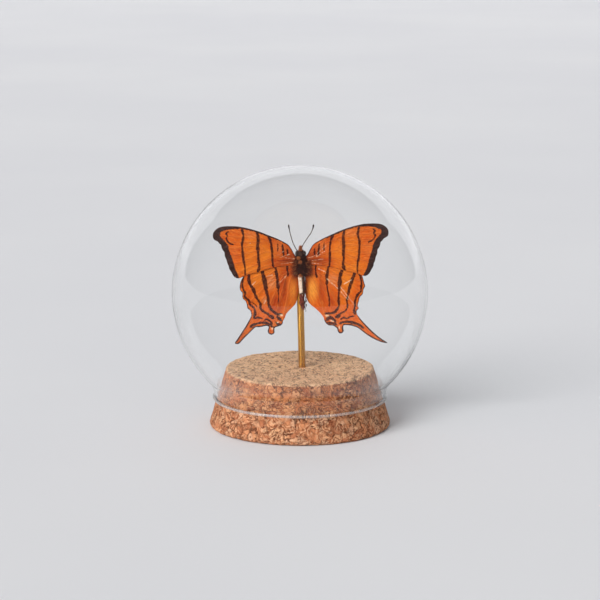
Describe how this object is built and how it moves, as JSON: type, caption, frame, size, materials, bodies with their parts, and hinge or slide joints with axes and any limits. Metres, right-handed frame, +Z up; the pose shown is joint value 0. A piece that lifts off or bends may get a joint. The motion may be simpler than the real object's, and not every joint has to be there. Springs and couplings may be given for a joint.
{
  "type": "butterfly in glass dome",
  "caption": "Spread dried butterfly on a brass rod, standing on a tapered cork base under a blown glass globe that rests over it and lifts off.",
  "frame": {"origin": "centre of the flat underside of the cork base, on the surface it stands on", "axes": "+Z up along the globe's axis; the butterfly's back, with its spread wings, faces -Y; +X to the viewer's right"},
  "size_m": [0.1, 0.1, 0.1023],
  "materials": {
    "clear_glass": "clear thin blown glass, fire-polished rim",
    "cork": "agglomerated cork granules, unsealed, matte",
    "brass": "drawn brass rod, satin",
    "wing_membrane": "dry scaled wing membrane, orange with dark brown stripes",
    "body_scales": "dark brown hair and scales, matte",
    "abdomen_skin": "dried reddish-brown skin with a cream flank",
    "dark_horn": "dark horny shell, low sheen",
    "rust_scales": "rust-coloured scales, matte"
  },
  "bodies": {
    "root": {"glass_dome": "clear_glass", "cork_base": "cork", "brass_rod": "brass", "thorax": "body_scales", "head": "body_scales", "abdomen": "abdomen_skin", "forewing_left": "wing_membrane", "hindwing_left": "wing_membrane", "antenna_left": "dark_horn", "palp_left": "rust_scales", "midleg_left": "dark_horn", "hindleg_left": "dark_horn", "forewing_right": "wing_membrane", "hindwing_right": "wing_membrane", "antenna_right": "dark_horn", "palp_right": "rust_scales", "midleg_right": "dark_horn", "hindleg_right": "dark_horn"}
  },
  "joints": []
}
